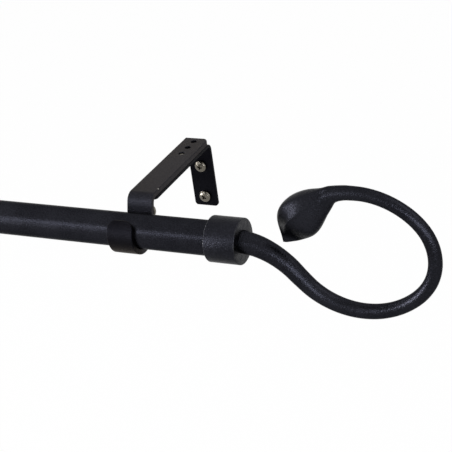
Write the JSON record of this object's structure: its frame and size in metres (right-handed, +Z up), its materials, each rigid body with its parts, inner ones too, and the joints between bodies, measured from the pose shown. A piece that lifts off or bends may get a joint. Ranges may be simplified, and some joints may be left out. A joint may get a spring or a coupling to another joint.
{
  "type": "extendable curtain rod",
  "caption": "Extendable curtain rod: telescoping tubes in the cups of flat-bar wall brackets, with collars and tapered loop finials that end in a creased bud.",
  "frame": {"origin": "on the wall plane, midway between the right bracket's wall screws", "axes": "+X along the rod towards the right finial, +Y into the wall, +Z up"},
  "size_m": [0.9792, 0.1192, 0.0747],
  "materials": {
    "rod_coat": "satin black powder coat",
    "finial_coat": "satin black powder coat with a fine stipple",
    "bracket_coat": "satin black powder coat",
    "screw_nickel": "nickel plated, polished",
    "dark_steel": "black oxide",
    "nylon": "matte"
  },
  "bodies": {
    "right_base": {"right_bracket_base": "bracket_coat", "right_wall_screws": "screw_nickel"},
    "right_arm": {"right_bracket_strap": "bracket_coat", "right_arm_screw": "screw_nickel", "right_rod_set_screw": "screw_nickel", "outer_tube": "rod_coat"},
    "right_finial": {"right_collar": "finial_coat", "right_finial_bar": "finial_coat", "right_finial_screw": "screw_nickel", "right_collar_set_screw": "dark_steel"},
    "extension": {"inner_tube": "rod_coat", "inner_tube_glide": "nylon", "left_bracket_strap": "bracket_coat", "left_arm_screw": "screw_nickel", "left_rod_set_screw": "screw_nickel"},
    "left_finial": {"left_collar": "finial_coat", "left_finial_bar": "finial_coat", "left_finial_screw": "screw_nickel", "left_collar_set_screw": "dark_steel", "left_collar_sleeve": "nylon"},
    "left_base": {"left_bracket_base": "bracket_coat", "left_wall_screws": "screw_nickel"}
  },
  "joints": [
    {"name": "right_projection", "type": "slide", "parent": "right_base", "child": "right_arm", "axis": [0, -1, 0], "range_m": [0, 0.0164]},
    {"name": "rod_length", "type": "slide", "parent": "right_arm", "child": "extension", "axis": [-1, 0, 0], "range_m": [-0.055, 0.45]},
    {"name": "left_projection", "type": "slide", "parent": "extension", "child": "left_base", "axis": [0, 1, 0], "range_m": [0, 0.0164]},
    {"name": "right_finial_turn", "type": "hinge", "parent": "right_arm", "child": "right_finial", "pos_m": [0.0669, -0.091, 0.014], "axis": [1, 0, 0], "continuous": true},
    {"name": "left_finial_turn", "type": "hinge", "parent": "extension", "child": "left_finial", "pos_m": [-0.7017, -0.091, 0.014], "axis": [-1, 0, 0], "continuous": true}
  ]
}
